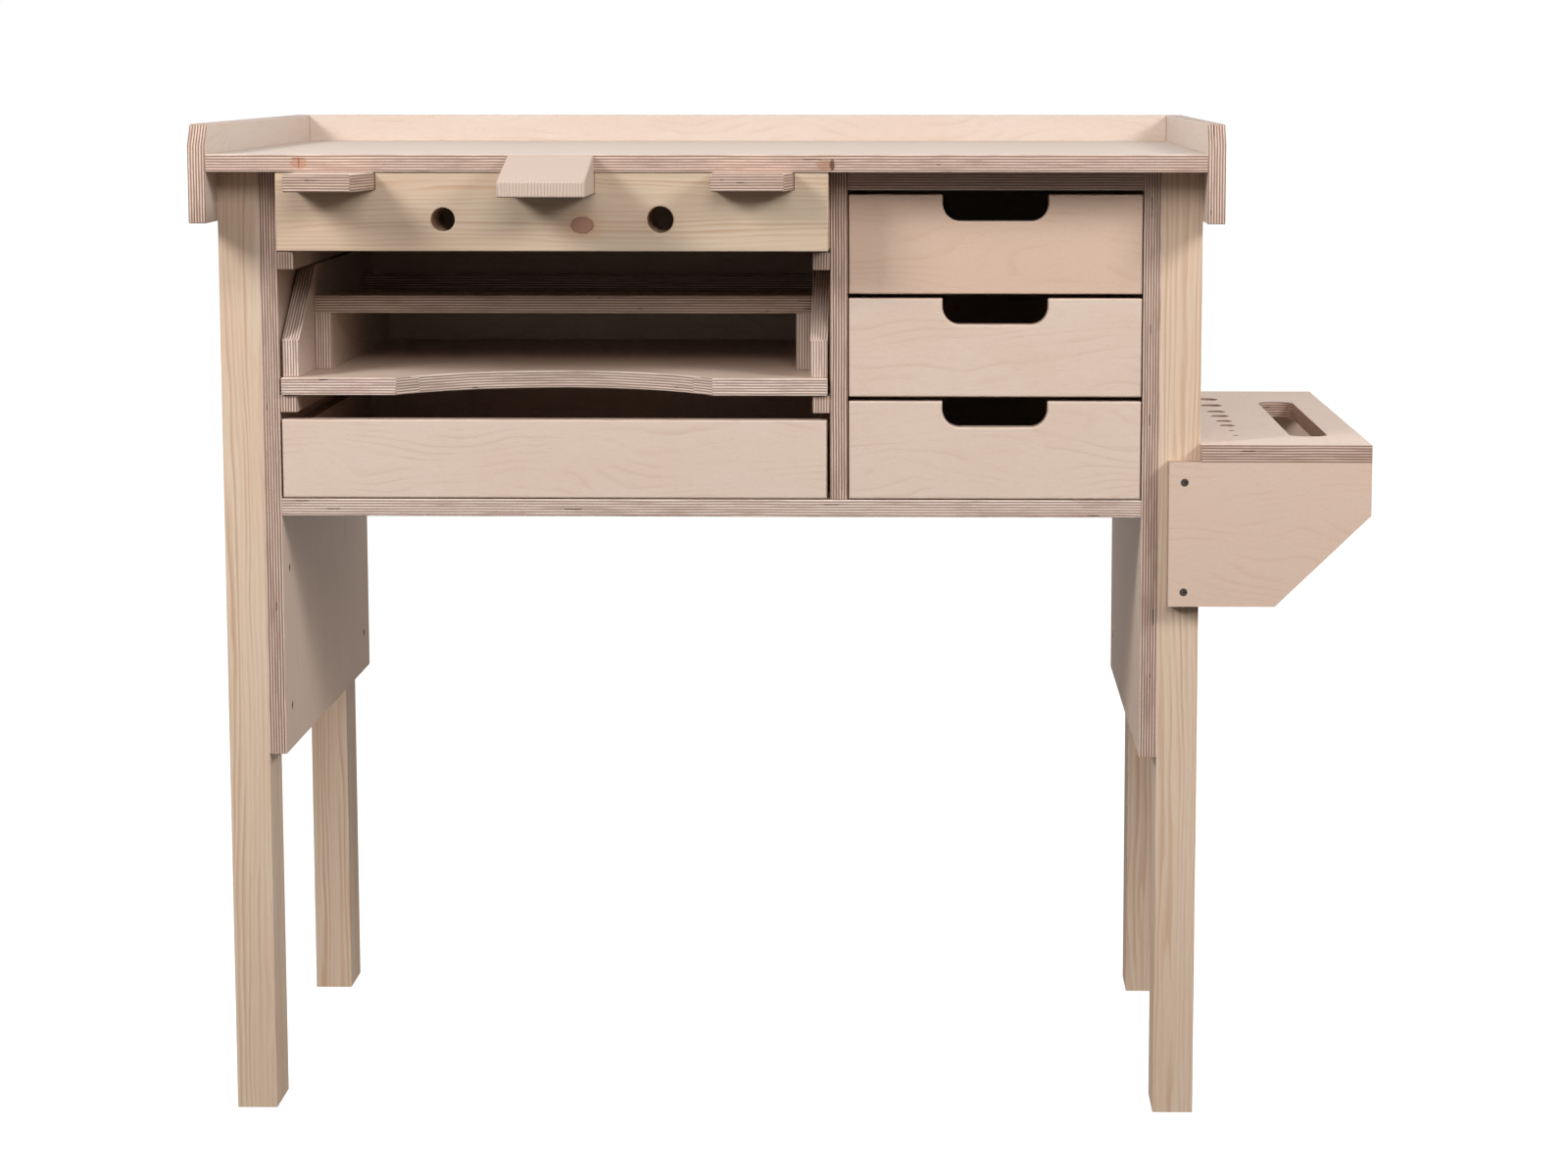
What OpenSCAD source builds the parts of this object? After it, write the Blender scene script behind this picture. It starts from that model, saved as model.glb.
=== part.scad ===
// A goldsmith's workbench of birch plywood and pine, as flat boards screwed to four straight legs.
// Under the worktop are a pull-out work tray, a wide drawer, three small drawers and two arm rests.
// A tool rack stands on two brackets beside the right legs.
// Millimetres, +Z up, +X to the worker's right, the worker sits on the -Y side.
// The origin is on the floor, under the middle of the whole outline, rack and bench pin included.

/* [Worktop] */
// Width of the worktop between the side guards
top_w = 1012; // [900:2:1200]
// Depth of the worktop from its front edge to the back guard
top_d = 582; // [540:1:640]
// Height of the working surface above the floor
top_z = 1010; // [960:1:1060]
// Thickness of the plywood boards
ply_t = 18; // [15:0.5:19]
// Height of the guards above the working surface
guard_up = 30; // [15:1:50]
// Height of the guard boards
guard_h = 100; // [70:1:110]
// Bevel at a side guard's front top corner, along its length
guard_bevel_y = 15; // [5:1:25]
// Bevel at a side guard's front top corner, down its height
guard_bevel_z = 22; // [5:1:28]

/* [Legs and cabinet] */
// Width of a pine leg as seen from the front
leg_w = 42; // [36:1:50]
// Depth of a pine leg
leg_d = 64; // [50:1:75]
// Overhang of the worktop in front of the legs
overhang = 55; // [45:1:65]
// Height of the gables' lower edge above the floor
gable_z = 382; // [300:1:450]
// Height of the cabinet floor's lower face
floor_z = 634; // [630:1:636]
// Thickness of the cabinet's back panel
back_t = 9; // [6:1:12]
// Width of the tray bay, from the left gable to the divider
tray_bay_w = 570; // [540:1:580]
// Section of the square runner strips
runner_s = 18; // [14:1:19]

/* [Apron, bench pin and arm rests] */
// Height of the pine apron under the worktop's front
apron_h = 80; // [75:1:84]
// Thickness of the apron, from front to back
apron_t = 91; // [85:1:95]
// Distance of the apron's face behind the worktop's front edge
apron_y = 2; // [1:1:10]
// Diameter of the left mandrel hole
hole_small_d = 24; // [15:1:30]
// Diameter of the right mandrel hole
hole_large_d = 27; // [20:1:34]
// Width of the bench pin
pin_w = 87; // [70:1:95]
// Reach of the bench pin in front of the worktop
pin_out = 95; // [60:1:120]
// Height of the bench pin's front face
pin_nose_h = 16; // [8:1:20]
// Width of an arm rest
rest_w = 82; // [70:1:90]
// Length of an arm rest
rest_l = 330; // [300:1:360]
// Reach of the left arm rest in front of the worktop when it is pushed in
rest_out_left = 60; // [30:1:70]
// Reach of the right arm rest in front of the worktop when it is pushed in
rest_out_right = 35; // [30:1:70]

/* [Tray and drawers] */
// Radius of the belly cut-out in the tray's front edge
belly_r = 202; // [180:1:260]
// Depth of the belly cut-out
belly_depth = 84; // [60:1:95]
// Slope of the tray's tool shelf down towards the back, in degrees
shelf_tilt = 2.8; // [0:0.1:4]
// Height of the wide drawer's front
wide_front_h = 82; // [70:1:84]
// Height of a small drawer's front
small_front_h = 102; // [94:0.5:103]
// Height from one small drawer to the next
small_pitch = 106.2; // [105:0.1:106.5]
// Width of the finger notch in a small drawer's front
notch_w = 108; // [80:1:130]
// Depth of the finger notch
notch_depth = 27; // [20:1:30]
// Thickness of the drawers' sides and backs
drawer_side_t = 12; // [9:1:15]
// Thickness of the drawers' bottoms
drawer_bottom_t = 6; // [4:1:9]

/* [Tool rack] */
// Width of the rack board beyond the legs
rack_w = 175; // [140:1:200]
// Height of the rack board's upper face above the floor
rack_z = 712; // [680:1:730]
// Height of a rack bracket
bracket_h = 150; // [130:1:180]
// Width of the long slot in the rack board
slot_w = 40; // [20:1:45]
// Length of the long slot
slot_l = 355; // [200:1:380]

/* [Hidden] */
$fn = 48;
eps = 1;
slide_gap = 0.5;
side_gap = 1;
ply = [0.86, 0.77, 0.67];
pine = [0.91, 0.82, 0.66];
steel = [0.55, 0.54, 0.52];

// The bench's own middle and front edge, seen from the origin
half_w = top_w / 2;
depth = top_d + ply_t;
bench_x = -rack_w / 2 + ply_t / 2;
bench_y = (pin_out - depth) / 2;

// Heights
under_z = top_z - ply_t;
apron_z = under_z - apron_h;
cabinet_z = floor_z + ply_t;

// Fronts and backs, measured back from the worktop's front edge
front_y = overhang;
panel_y = top_d - back_t;

// Inner faces of the bays
gable_x = half_w - leg_w;
bay_l = -gable_x + ply_t;
divider_x = bay_l + tray_bay_w;
bay_r = gable_x - ply_t;
bay_mid = (bay_l + divider_x) / 2;
small_bay_l = divider_x + ply_t;
small_mid = (small_bay_l + bay_r) / 2;
bay_rail_h = 20;
bay_rail_d = 60;

// Runners and the tray that slides between them
strip_end_gap = 5;
kicker_z = apron_z - 4 - runner_s;
tray_runner_z = cabinet_z + 90;
tray_z = tray_runner_z + runner_s + slide_gap;
tray_front_y = front_y - 4;
tray_back_y = panel_y - 21;
tray_x = [bay_l + 2.5, divider_x - 2.5];
tray_top_z = tray_z + ply_t;
tray_side_y = front_y + 5;
tray_side_top = kicker_z - 1.5;
tray_side_nose = 38.5;
tray_slope_run = 104;
tray_in = [tray_x[0] + ply_t, tray_x[1] - ply_t];
shelf_y = front_y + 95;
shelf_under_z = tray_top_z + 60;
ledge_y = shelf_y + 308;
post_back_y = tray_back_y - ply_t;

// Drawers
drawer_end_y = panel_y - 15;
small_z = cabinet_z + 1;
notch_r = 17.5;
wide_box_h = 72;
small_box_top = 92;
strip_h = runner_s - 2;
bottom_up = 6;
wide_x = [bay_l + side_gap + 0.5, divider_x - side_gap - 2];
wide_box_z = [cabinet_z + slide_gap, cabinet_z + slide_gap + wide_box_h];
small_x = [small_bay_l + side_gap, bay_r - side_gap];

// Arm rests, and the notches that they and the bench pin pass through
rest_mid = [bay_mid - 215, bay_mid + 209];
rest_slant = 13;
rest_fit = 0.5;
rest_drop = ply_t + slide_gap;
apron_back_y = apron_y + apron_t;
apron_shoulder = 10;
apron_mid = bay_mid + apron_shoulder / 2;
keeper_y = [apron_back_y + 20, apron_back_y + 160];
keeper_t = 12;
keeper_wall = 16;
pin_tenon_z = under_z - 22;
pin_tenon_y = apron_back_y + 32;
mandrel_z = apron_z + 32;
mandrel_x = [apron_mid - 110, apron_mid + 110];
pin_x = [apron_mid - pin_w / 2, apron_mid + pin_w / 2];

// Rack
rack_x = [half_w, half_w + rack_w];
bracket_z = [rack_z - ply_t - bracket_h, rack_z - ply_t];
bracket_in = 33;
bracket_cut_x = 98;
bracket_cut_z = 95;
rack_hole_x = half_w + 43;
rack_hole_y = [128, 175, 224, 268, 320, 367, 435, 503];
rack_hole_d = [7, 8, 18, 19, 22, 22, 26, 28];
slot_mid_x = half_w + 120;
slot_mid_y = 297;
slot_r = 15;

// Screws
screw_d = 4;
screw_head_d = 8;
screw_head_h = 3;
screw_fit = 0.1;
screw_sink = 0.5;
screw_l = 45;
screw_recess_d = 3.2;
screw_recess_h = 1.5;
bracket_screw_x = half_w - 17;
bracket_screw_z = [bracket_z[0] + 15, bracket_z[1] - 21];
gable_screw_y = [front_y + 37, top_d - 37];
gable_screw_z = [gable_z + 45, floor_z - 60];

// Moves a piece from the bench's own middle and front edge to the origin.
module on_bench() {
    translate([bench_x, bench_y, 0]) children();
}

// A square-edged board between two places along each axis.
module board(x, y, z) {
    translate([x[0], y[0], z[0]]) cube([x[1] - x[0], y[1] - y[0], z[1] - z[0]]);
}

// A board cut to an outline in Y and Z, lying between two places along X.
module board_cut_yz(x, outline) {
    translate([x[0], 0, 0]) rotate([90, 0, 90]) linear_extrude(x[1] - x[0]) polygon(outline);
}

// A board cut to an outline in X and Z, lying between two places along Y.
module board_cut_xz(y, outline) {
    translate([0, y[1], 0]) rotate([90, 0, 0]) linear_extrude(y[1] - y[0]) polygon(outline);
}

// A countersunk screw along +X, its head's face at x = 0.
module screw() {
    rotate([0, 90, 0]) {
        difference() {
            cylinder(d = screw_head_d, h = screw_head_h);
            translate([0, 0, -eps]) cylinder(d = screw_recess_d, h = screw_recess_h + eps, $fn = 6);
        }
        translate([0, 0, screw_head_h]) cylinder(d = screw_d, h = screw_l - screw_head_h);
    }
}

// The hole that one screw needs, through the outer board and on into the wood behind it.
module screw_hole() {
    rotate([0, 90, 0]) {
        translate([0, 0, -screw_sink - eps])
            cylinder(d = screw_head_d + 2 * screw_fit, h = screw_sink + eps + screw_head_h + screw_fit);
        cylinder(d = screw_d + 2 * screw_fit, h = screw_l + 1);
    }
}

module worktop() {
    color(ply) on_bench() board([-half_w, half_w], [0, top_d], [under_z, top_z]);
}

// A side guard hangs over the worktop's end and the legs' outer faces.
module side_guard(side) {
    x = side < 0 ? [-half_w - ply_t, -half_w] : [half_w, half_w + ply_t];
    crest = top_z + guard_up;
    foot = crest - guard_h;
    color(ply) on_bench() board_cut_yz(x, [
        [0, foot], [depth, foot], [depth, crest],
        [guard_bevel_y, crest], [0, crest - guard_bevel_z]
    ]);
}

module guard_back() {
    z = [top_z + guard_up - guard_h, top_z + guard_up];
    color(ply) on_bench() board([-half_w, half_w], [top_d, depth], z);
}

// Four pine legs, drilled where the gable and bracket screws bite.
module leg(side, back) {
    x = side < 0 ? [-half_w, -gable_x] : [gable_x, half_w];
    y = back ? [top_d - leg_d, top_d] : [front_y, front_y + leg_d];
    color(pine) on_bench() difference() {
        board(x, y, [0, under_z]);
        gable_screw_places() screw_hole();
        if (side > 0) bracket_screw_places() screw_hole();
    }
}

// Every place where a screw goes through a gable into a leg.
module gable_screw_places() {
    for (y = gable_screw_y, z = gable_screw_z) {
        translate([bay_r + screw_sink, y, z]) children();
        translate([bay_l - screw_sink, y, z]) rotate([0, 0, 180]) children();
    }
}

// Every place where a screw goes through a rack bracket into a right leg.
module bracket_screw_places() {
    for (z = bracket_screw_z) {
        translate([bracket_screw_x, front_y - ply_t + screw_sink, z]) rotate([0, 0, 90]) children();
        translate([bracket_screw_x, depth - screw_sink, z]) rotate([0, 0, -90]) children();
    }
}

module gable(side) {
    x = side < 0 ? [-gable_x, bay_l] : [bay_r, gable_x];
    color(ply) on_bench() difference() {
        board(x, [front_y, top_d], [gable_z, under_z]);
        gable_screw_places() screw_hole();
    }
}

module cabinet_back() {
    color(ply) on_bench() board([bay_l, bay_r], [panel_y, top_d], [floor_z, under_z]);
}

module cabinet_floor() {
    color(ply) on_bench() board([bay_l, bay_r], [front_y, panel_y], [floor_z, cabinet_z]);
}

module divider() {
    color(ply) on_bench()
        board([divider_x, small_bay_l], [front_y, panel_y], [cabinet_z, under_z]);
}

// The pine apron is a beam between the left gable and the divider. It stands proud of them, almost
// to the worktop's front edge. Its proud part ends short of the gable. It has two mandrel holes, and
// notches in its top for the bench pin and the arm rests.
module apron() {
    cut = [apron_y - eps, apron_back_y + eps];
    color(pine) on_bench() difference() {
        union() {
            board([bay_l + apron_shoulder, divider_x], [apron_y, apron_back_y], [apron_z, under_z]);
            board([bay_l, divider_x], [front_y, apron_back_y], [apron_z, under_z]);
        }
        board(pin_x, cut, [pin_tenon_z, under_z + eps]);
        for (mid = rest_mid) {
            half = rest_w / 2 + rest_fit;
            board([mid - half, mid + half], cut, [under_z - rest_drop, under_z + eps]);
        }
        for (i = [0, 1])
            translate([mandrel_x[i], cut[0], mandrel_z]) rotate([-90, 0, 0])
                cylinder(d = i == 0 ? hole_small_d : hole_large_d, h = apron_t + 2 * eps);
    }
}

// The strip that closes the small drawers' bay under the worktop.
module bay_rail() {
    color(ply) on_bench()
        board([small_bay_l, bay_r], [front_y, front_y + bay_rail_d], [under_z - bay_rail_h, under_z]);
}

// The bench pin is a wedge with a tenon that runs under the worktop, through the apron.
module bench_pin() {
    color(pine) on_bench() board_cut_yz(pin_x, [
        [-pin_out, pin_tenon_z], [pin_tenon_y, pin_tenon_z], [pin_tenon_y, under_z],
        [0, under_z], [0, top_z], [-pin_out, pin_tenon_z + pin_nose_h]
    ]);
}

// A runner strip on the left gable or on the divider, in the tray bay.
module bay_strip(side, z) {
    x = side < 0 ? [bay_l, bay_l + runner_s] : [divider_x - runner_s, divider_x];
    color(ply) on_bench() board(x, [front_y, panel_y - strip_end_gap], [z, z + runner_s]);
}

// The strips that the middle and top drawers run on; their fronts hide the strips' ends.
module drawer_strips(side) {
    x = side < 0 ? [small_bay_l, small_bay_l + runner_s] : [bay_r - runner_s, bay_r];
    y = [front_y + ply_t + 1, panel_y - strip_end_gap];
    color(ply) on_bench() for (k = [1, 2]) {
        z = small_z + k * small_pitch - 1;
        board(x, y, [z, z + strip_h]);
    }
}

// One keeper under the worktop for each arm rest: two cheeks and a bridge below.
module rest_keepers() {
    half = rest_w / 2 + rest_fit;
    bridge_z = under_z - rest_drop - keeper_t;
    color(ply) on_bench() for (mid = rest_mid) {
        difference() {
            board([mid - half - keeper_wall, mid + half + keeper_wall], keeper_y, [bridge_z, under_z]);
            board([mid - half, mid + half], [keeper_y[0] - eps, keeper_y[1] + eps],
                  [under_z - rest_drop, under_z + eps]);
        }
    }
}

// An arm rest slides out through the apron. In front of the apron its right side is sawn at a slant.
module arm_rest(mid, out) {
    half = rest_w / 2;
    slant_y = out + apron_y;
    slant_x = slant_y * tan(rest_slant);
    z = under_z - ply_t - slide_gap / 2;
    color(ply) on_bench() translate([mid, -out, z]) linear_extrude(ply_t) polygon([
        [-half, 0], [half - slant_x, 0], [half, slant_y], [half, rest_l], [-half, rest_l]
    ]);
}

// The tray's base, with the belly cut-out sawn into its front edge.
module tray_base() {
    color(ply) on_bench() difference() {
        board(tray_x, [tray_front_y, tray_back_y], [tray_z, tray_top_z]);
        translate([bay_mid, tray_front_y + belly_depth - belly_r, tray_z - eps])
            cylinder(r = belly_r, h = ply_t + 2 * eps, $fn = 96);
    }
}

// A tray side, cut back in a slope from its low nose.
module tray_side(side) {
    x = side < 0 ? [tray_x[0], tray_in[0]] : [tray_in[1], tray_x[1]];
    color(ply) on_bench() board_cut_yz(x, [
        [tray_side_y, tray_top_z], [tray_back_y, tray_top_z], [tray_back_y, tray_side_top],
        [tray_side_y + tray_slope_run, tray_side_top], [tray_side_y, tray_top_z + tray_side_nose]
    ]);
}

// Height of the tool shelf's underside at a place along Y.
function shelf_under(y) = shelf_under_z - (y - shelf_y) * tan(shelf_tilt);

// An upright inside a tray side, which carries the tool shelf.
module tray_post(side) {
    x = side < 0 ? [tray_in[0], tray_in[0] + ply_t] : [tray_in[1] - ply_t, tray_in[1]];
    color(ply) on_bench() board_cut_yz(x, [
        [shelf_y, tray_top_z], [post_back_y, tray_top_z],
        [post_back_y, shelf_under(post_back_y)], [shelf_y, shelf_under(shelf_y)]
    ]);
}

// A board as thick as the plywood that lies on the tool shelf's slope, raised by so many boards.
module sloping_board(y, raised) {
    lift = raised * ply_t;
    color(ply) on_bench() board_cut_yz(tray_in, [
        [y[0], shelf_under(y[0]) + lift], [y[1], shelf_under(y[1]) + lift],
        [y[1], shelf_under(y[1]) + lift + ply_t], [y[0], shelf_under(y[0]) + lift + ply_t]
    ]);
}

module tray_shelf() {
    sloping_board([shelf_y, post_back_y], 0);
}

module tray_ledge() {
    sloping_board([ledge_y, post_back_y], 1);
}

module tray_back() {
    color(ply) on_bench()
        board(tray_in, [post_back_y, tray_back_y], [tray_top_z, tray_side_top]);
}

// The parts of a drawer: x is its front's span, box_x its box's span, box_z its box's heights.
module drawer_side(box_x, box_z, side) {
    x = side < 0 ? [box_x[0], box_x[0] + drawer_side_t] : [box_x[1] - drawer_side_t, box_x[1]];
    color(ply) on_bench() board(x, [front_y + ply_t, drawer_end_y], box_z);
}

module drawer_back(box_x, box_z) {
    x = [box_x[0] + drawer_side_t, box_x[1] - drawer_side_t];
    color(ply) on_bench() board(x, [drawer_end_y - drawer_side_t, drawer_end_y], box_z);
}

module drawer_bottom(box_x, box_z) {
    x = [box_x[0] + drawer_side_t, box_x[1] - drawer_side_t];
    z = box_z[0] + bottom_up;
    color(ply) on_bench()
        board(x, [front_y + ply_t, drawer_end_y - drawer_side_t], [z, z + drawer_bottom_t]);
}

// Heights of a small drawer's box: the lowest stands on the cabinet floor, the others on strips.
function small_box_z(k) =
    let (z = k == 0 ? cabinet_z + slide_gap : small_z + k * small_pitch - 1 + strip_h + slide_gap)
    [z, small_z + k * small_pitch + small_box_top];

module wide_drawer_front() {
    z = cabinet_z + 1;
    color(ply) on_bench() board(wide_x, [front_y, front_y + ply_t], [z, z + wide_front_h]);
}

// A small drawer's front, with a finger notch of rounded corners in its upper edge.
module small_drawer_front(k) {
    z = small_z + k * small_pitch;
    top = z + small_front_h;
    y = [front_y, front_y + ply_t];
    half = notch_w / 2;
    cut_y = [y[0] - eps, y[1] + eps];
    color(ply) on_bench() difference() {
        board(small_x, y, [z, top]);
        board([small_mid - half + notch_r, small_mid + half - notch_r], cut_y, [top - notch_depth, top + eps]);
        board([small_mid - half, small_mid + half], cut_y, [top - notch_depth + notch_r, top + eps]);
        for (side = [-1, 1])
            translate([small_mid + side * (half - notch_r), cut_y[1], top - notch_depth + notch_r])
                rotate([90, 0, 0]) cylinder(r = notch_r, h = ply_t + 2 * eps);
    }
}

// The rack board, with a long slot and a row of graded holes for tools.
module rack_board() {
    z = [rack_z - ply_t, rack_z];
    color(ply) on_bench() difference() {
        board(rack_x, [front_y - ply_t, depth], z);
        for (i = [0 : len(rack_hole_y) - 1])
            translate([rack_hole_x, rack_hole_y[i], z[0] - eps])
                cylinder(d = rack_hole_d[i], h = ply_t + 2 * eps);
        rack_slot([z[0] - eps, z[1] + eps]);
    }
}

module rack_slot(z) {
    half_x = slot_w / 2;
    half_y = slot_l / 2;
    translate([slot_mid_x, slot_mid_y, 0]) {
        board([-half_x, half_x], [-half_y + slot_r, half_y - slot_r], z);
        board([-half_x + slot_r, half_x - slot_r], [-half_y, half_y], z);
        for (sx = [-1, 1], sy = [-1, 1])
            translate([sx * (half_x - slot_r), sy * (half_y - slot_r), z[0]])
                cylinder(r = slot_r, h = z[1] - z[0]);
    }
}

// A rack bracket is a board on a leg's face, with its lower outer corner sawn off.
module rack_bracket(y) {
    x = [half_w - bracket_in, rack_x[1]];
    color(ply) on_bench() difference() {
        board_cut_xz(y, [
            [x[0], bracket_z[0]], [x[1] - bracket_cut_x, bracket_z[0]],
            [x[1], bracket_z[0] + bracket_cut_z], [x[1], bracket_z[1]], [x[0], bracket_z[1]]
        ]);
        bracket_screw_places() screw_hole();
    }
}

module rack_screws() {
    color(steel) on_bench() bracket_screw_places() screw();
}

module gable_screws() {
    color(steel) on_bench() gable_screw_places() screw();
}

worktop();
side_guard(-1);  // guard_left
side_guard(1);  // guard_right
guard_back();
leg(-1, false);  // leg_front_left
leg(1, false);  // leg_front_right
leg(-1, true);  // leg_back_left
leg(1, true);  // leg_back_right
gable(-1);  // gable_left
gable(1);  // gable_right
cabinet_back();
cabinet_floor();
divider();
apron();
bay_rail();
bench_pin();
bay_strip(-1, kicker_z);  // tray_kicker_left
bay_strip(1, kicker_z);  // tray_kicker_right
bay_strip(-1, tray_runner_z);  // tray_runner_left
bay_strip(1, tray_runner_z);  // tray_runner_right
drawer_strips(-1);  // drawer_runners_left
drawer_strips(1);  // drawer_runners_right
rest_keepers();
rack_board();
rack_bracket([front_y - ply_t, front_y]);  // rack_bracket_front
rack_bracket([top_d, depth]);  // rack_bracket_back
rack_screws();
gable_screws();
arm_rest(rest_mid[0], rest_out_left);  // arm_rest_left
arm_rest(rest_mid[1], rest_out_right);  // arm_rest_right
tray_base();
tray_side(-1);  // tray_side_left
tray_side(1);  // tray_side_right
tray_post(-1);  // tray_post_left
tray_post(1);  // tray_post_right
tray_shelf();
tray_ledge();
tray_back();
wide_drawer_front();
drawer_side(wide_x, wide_box_z, -1);  // wide_drawer_side_left
drawer_side(wide_x, wide_box_z, 1);  // wide_drawer_side_right
drawer_back(wide_x, wide_box_z);  // wide_drawer_back
drawer_bottom(wide_x, wide_box_z);  // wide_drawer_bottom
small_drawer_front(0);  // low_drawer_front
drawer_side(small_x, small_box_z(0), -1);  // low_drawer_side_left
drawer_side(small_x, small_box_z(0), 1);  // low_drawer_side_right
drawer_back(small_x, small_box_z(0));  // low_drawer_back
drawer_bottom(small_x, small_box_z(0));  // low_drawer_bottom
small_drawer_front(1);  // mid_drawer_front
drawer_side(small_x, small_box_z(1), -1);  // mid_drawer_side_left
drawer_side(small_x, small_box_z(1), 1);  // mid_drawer_side_right
drawer_back(small_x, small_box_z(1));  // mid_drawer_back
drawer_bottom(small_x, small_box_z(1));  // mid_drawer_bottom
small_drawer_front(2);  // top_drawer_front
drawer_side(small_x, small_box_z(2), -1);  // top_drawer_side_left
drawer_side(small_x, small_box_z(2), 1);  // top_drawer_side_right
drawer_back(small_x, small_box_z(2));  // top_drawer_back
drawer_bottom(small_x, small_box_z(2));  // top_drawer_bottom
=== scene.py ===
import random
from math import cos, pi, radians, sin

import bmesh
import bpy
import numpy as np
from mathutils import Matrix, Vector


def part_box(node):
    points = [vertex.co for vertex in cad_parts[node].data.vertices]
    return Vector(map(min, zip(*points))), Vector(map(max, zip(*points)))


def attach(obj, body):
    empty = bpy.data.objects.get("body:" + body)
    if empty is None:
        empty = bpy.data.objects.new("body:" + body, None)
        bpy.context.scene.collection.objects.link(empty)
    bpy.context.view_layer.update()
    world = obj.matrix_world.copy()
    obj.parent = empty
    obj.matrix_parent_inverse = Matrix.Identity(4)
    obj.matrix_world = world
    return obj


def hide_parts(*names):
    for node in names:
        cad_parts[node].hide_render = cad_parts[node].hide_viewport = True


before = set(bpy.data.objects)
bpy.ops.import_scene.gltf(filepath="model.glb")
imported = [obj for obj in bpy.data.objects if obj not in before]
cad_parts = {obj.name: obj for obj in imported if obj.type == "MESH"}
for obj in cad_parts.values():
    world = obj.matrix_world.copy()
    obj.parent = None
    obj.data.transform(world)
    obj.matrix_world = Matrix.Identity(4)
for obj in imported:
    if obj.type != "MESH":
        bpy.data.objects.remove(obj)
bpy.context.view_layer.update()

# --- Camera, floor and light -------------------------------------------------------------------
# A long lens looks slightly down at the bench from in front, just above the worktop's height.
# The floor is pale and goes on past the view. Three softboxes stand higher than the worktop, left,
# right and in front; a white wall behind throws light on the back, and little comes up from the floor.
top_low, top_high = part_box("worktop")
top_mid_x = (top_low.x + top_high.x) / 2
CAMERA_RIGHT = 0.2186
CAMERA_BACK = 3.365
CAMERA_HEIGHT = 1.1032
CAMERA_DOWN = radians(6.87)
CAMERA_TURN = radians(1.036)
LENS_MM = 76.49
SHIFT = (-0.0496, -0.08)

camera = bpy.data.objects.new("camera", bpy.data.cameras.new("camera"))
camera.location = (top_mid_x + CAMERA_RIGHT, top_low.y - CAMERA_BACK, CAMERA_HEIGHT)
camera.rotation_euler = (pi / 2 - CAMERA_DOWN, 0, CAMERA_TURN)
camera.data.lens = LENS_MM
camera.data.shift_x, camera.data.shift_y = SHIFT
bpy.context.collection.objects.link(camera)
bpy.context.scene.camera = camera
bpy.context.scene.view_settings.view_transform = "Standard"


def linear(hex_colour):
    """An sRGB hex colour such as #d8c4b6 as linear red, green, blue and alpha."""
    parts = [int(hex_colour[i:i + 2], 16) / 255 for i in (1, 3, 5)]
    return [p / 12.92 if p <= 0.04045 else ((p + 0.055) / 1.055) ** 2.4 for p in parts] + [1.0]


def add(tree, kind, settings=None, **inputs):
    """Adds a node. An input is named by its label, or by _0, _1 for its place, and a node or a
    socket given for it is linked."""
    node = tree.nodes.new(kind)
    for name, value in (settings or {}).items():
        setattr(node, name, value)
    for name, value in inputs.items():
        key = int(name[1:]) if name[0] == "_" else name.replace("_", " ")
        socket = node.inputs[key]
        if isinstance(value, bpy.types.Node):
            value = value.outputs[0]
        if isinstance(value, bpy.types.NodeSocket):
            tree.links.new(value, socket)
        else:
            socket.default_value = value
    return node


def new_material(name):
    """A material with an empty node tree."""
    material = bpy.data.materials.new(name)
    material.use_nodes = True
    material.node_tree.nodes.clear()
    return material


SKY_LIGHT = 0.17
GROUND_LIGHT = 0.07
BACK_LIGHT = 0.6
WALL_FOOT = -0.25
WALL_TOP = -0.03
FLOOR_SHINE = 0.08
world = bpy.data.worlds.new("studio")
world.use_nodes = True
world.node_tree.nodes.clear()
studio = world.node_tree
up = add(studio, "ShaderNodeSeparateXYZ", Vector=add(studio, "ShaderNodeTexCoord").outputs["Generated"])
dimmer = add(studio, "ShaderNodeMapRange", Value=up.outputs["Z"], From_Min=-1.0, From_Max=1.0,
             To_Min=GROUND_LIGHT, To_Max=SKY_LIGHT)
shine = add(studio, "ShaderNodeMapRange", Value=up.outputs["Z"], From_Min=WALL_FOOT, From_Max=WALL_TOP,
            To_Min=FLOOR_SHINE, To_Max=1.0)
behind = add(studio, "ShaderNodeMapRange", Value=up.outputs["Y"], From_Min=0.0, From_Max=1.0,
             To_Min=0.0, To_Max=BACK_LIGHT)
dimmer = add(studio, "ShaderNodeMath", _0=dimmer, _1=behind)
walls = add(studio, "ShaderNodeBackground", Color=linear("#ffffff"), Strength=shine)
soft_light = add(studio, "ShaderNodeBackground", Color=linear("#fff0e2"), Strength=dimmer)
ray = add(studio, "ShaderNodeLightPath")
mixed = add(studio, "ShaderNodeMixShader", _0=ray.outputs["Is Diffuse Ray"], _1=walls, _2=soft_light)
add(studio, "ShaderNodeOutputWorld", Surface=mixed)
bpy.context.scene.world = world

FLOOR_SIZE = 80
FLOOR_DROP = 0.001
FLOOR_GLOW = 0.93
bpy.ops.mesh.primitive_plane_add(size=FLOOR_SIZE, location=(0, 0, -FLOOR_DROP))
floor = bpy.context.object
floor.name = "studio_floor"
floor_paint = new_material("pale studio floor")
floor_tree = floor_paint.node_tree
floor_shader = add(floor_tree, "ShaderNodeBsdfPrincipled", Base_Color=linear("#949494"), Roughness=0.9,
                   Emission_Color=linear("#ffffff"), Emission_Strength=FLOOR_GLOW)
add(floor_tree, "ShaderNodeOutputMaterial", Surface=floor_shader)
floor.data.materials.append(floor_paint)
floor.visible_diffuse = False
floor.visible_glossy = False


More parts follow.
